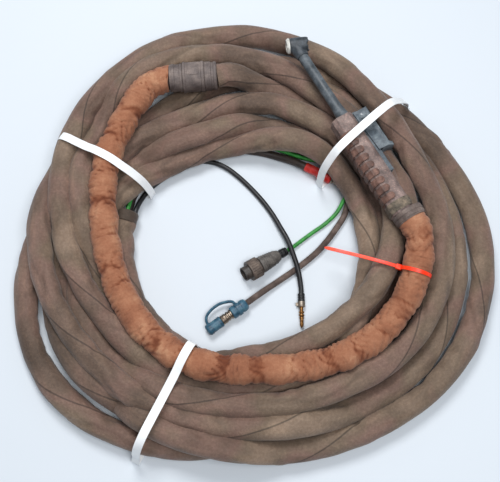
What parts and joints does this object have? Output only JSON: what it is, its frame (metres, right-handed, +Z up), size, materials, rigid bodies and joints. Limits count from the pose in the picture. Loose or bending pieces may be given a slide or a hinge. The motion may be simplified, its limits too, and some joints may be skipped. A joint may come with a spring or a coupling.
{
  "type": "tig torch",
  "caption": "Water-cooled TIG welding torch with trigger handle, leather-covered lead and coiled hose package with gas, water and control plugs.",
  "frame": {"origin": "middle of the coil on the bench that it rests on", "axes": "+Z up from the bench; +X and +Y lie on the bench, and the torch's head points about 120 degrees from +X"},
  "size_m": [0.6297, 0.6171, 0.1],
  "materials": {
    "head_brass": "machined, tarnished",
    "head_rubber": "moulded, worn",
    "white_insulator": "moulded",
    "neck_rubber": "moulded, worn",
    "copper_tube": "drawn copper",
    "ferrule_metal": "plated, tarnished",
    "black_hose": "smooth extruded",
    "brown_braid": "braided cover",
    "green_cable": "smooth extruded",
    "handle_plastic": "moulded, scuffed",
    "steel": "plain",
    "grip_rubber": "soft moulded, dirty",
    "tape": "worn cloth tape",
    "switch_plastic": "moulded",
    "black_plastic": "moulded",
    "red_plastic": "moulded",
    "collar_plastic": "moulded, dirty",
    "leather": "suede split, gathered",
    "sleeve_plastic": "moulded, scuffed",
    "jacket_fabric": "coated woven jacket",
    "cuff_fabric": "bound hem",
    "brass": "turned, tarnished",
    "blue_plastic": "moulded",
    "grey_plastic": "moulded, dirty",
    "white_nylon": "smooth strap",
    "orange_nylon": "smooth strap"
  },
  "bodies": {
    "root": {"head_body": "head_brass", "head_moulding": "head_rubber", "front_insulator": "white_insulator", "neck_sheath": "neck_rubber", "gas_tube": "copper_tube", "water_tube": "copper_tube", "power_tube": "copper_tube", "crimp_ferrules": "ferrule_metal", "inner_gas_hose": "black_hose", "inner_water_hose": "brown_braid", "inner_power_cable": "brown_braid", "switch_cable": "green_cable", "handle_shell_upper": "handle_plastic", "handle_shell_lower": "handle_plastic", "handle_screws": "steel", "grip_strip": "grip_rubber", "tape_wrap": "tape", "switch_base": "switch_plastic", "trigger_pin": "steel", "microswitch": "black_plastic", "rear_collar": "collar_plastic", "leather_hose": "leather", "sleeve_front": "sleeve_plastic", "sleeve_body": "sleeve_plastic", "sleeve_rear": "sleeve_plastic", "hose_coil": "jacket_fabric", "jacket_cuff": "cuff_fabric", "gas_hose": "black_hose", "gas_ferrule": "black_plastic", "gas_ear_clamp": "ferrule_metal", "gas_nipple": "brass", "water_hose": "brown_braid", "blue_sleeve": "blue_plastic", "blue_nipple": "ferrule_metal", "power_hose": "brown_braid", "red_sleeve": "red_plastic", "red_nipple": "ferrule_metal", "control_cable": "green_cable", "plug_clamp": "grey_plastic", "plug_backshell": "grey_plastic", "plug_barrel": "grey_plastic", "plug_pins": "brass", "tie_left": "white_nylon", "tie_bottom": "white_nylon", "tie_handle": "white_nylon", "tie_orange": "orange_nylon"},
    "trigger_lever": {"trigger": "switch_plastic", "trigger_spring": "steel"},
    "plunger": {"switch_plunger": "red_plastic"},
    "coupling_ring": {"plug_ring": "grey_plastic"},
    "dust_cap": {"blue_cap": "blue_plastic"}
  },
  "joints": [
    {"name": "trigger_hinge", "type": "hinge", "parent": "root", "child": "trigger_lever", "pos_m": [0.14832, 0.1591, 0.079], "axis": [0, 0, -1], "range_deg": [0, 3], "stiffness_Nm_per_rad": 0.4, "springref_deg": -11.46},
    {"name": "plunger_slide", "type": "slide", "parent": "root", "child": "plunger", "axis": [-0.866, -0.5, 0], "range_m": [0, 0.0018]},
    {"name": "ring_turn", "type": "hinge", "parent": "root", "child": "coupling_ring", "pos_m": [0.00525, -0.03396, 0.01543], "axis": [-0.8364, -0.5227, 0.165], "continuous": true},
    {"name": "cap_pull", "type": "slide", "parent": "root", "child": "dust_cap", "axis": [-0.8059, -0.592, 0], "range_m": [0, 0.02]}
  ],
  "couplings": [
    {"joint": "plunger_slide", "follows": "trigger_hinge", "m_per_rad": 0.034}
  ]
}
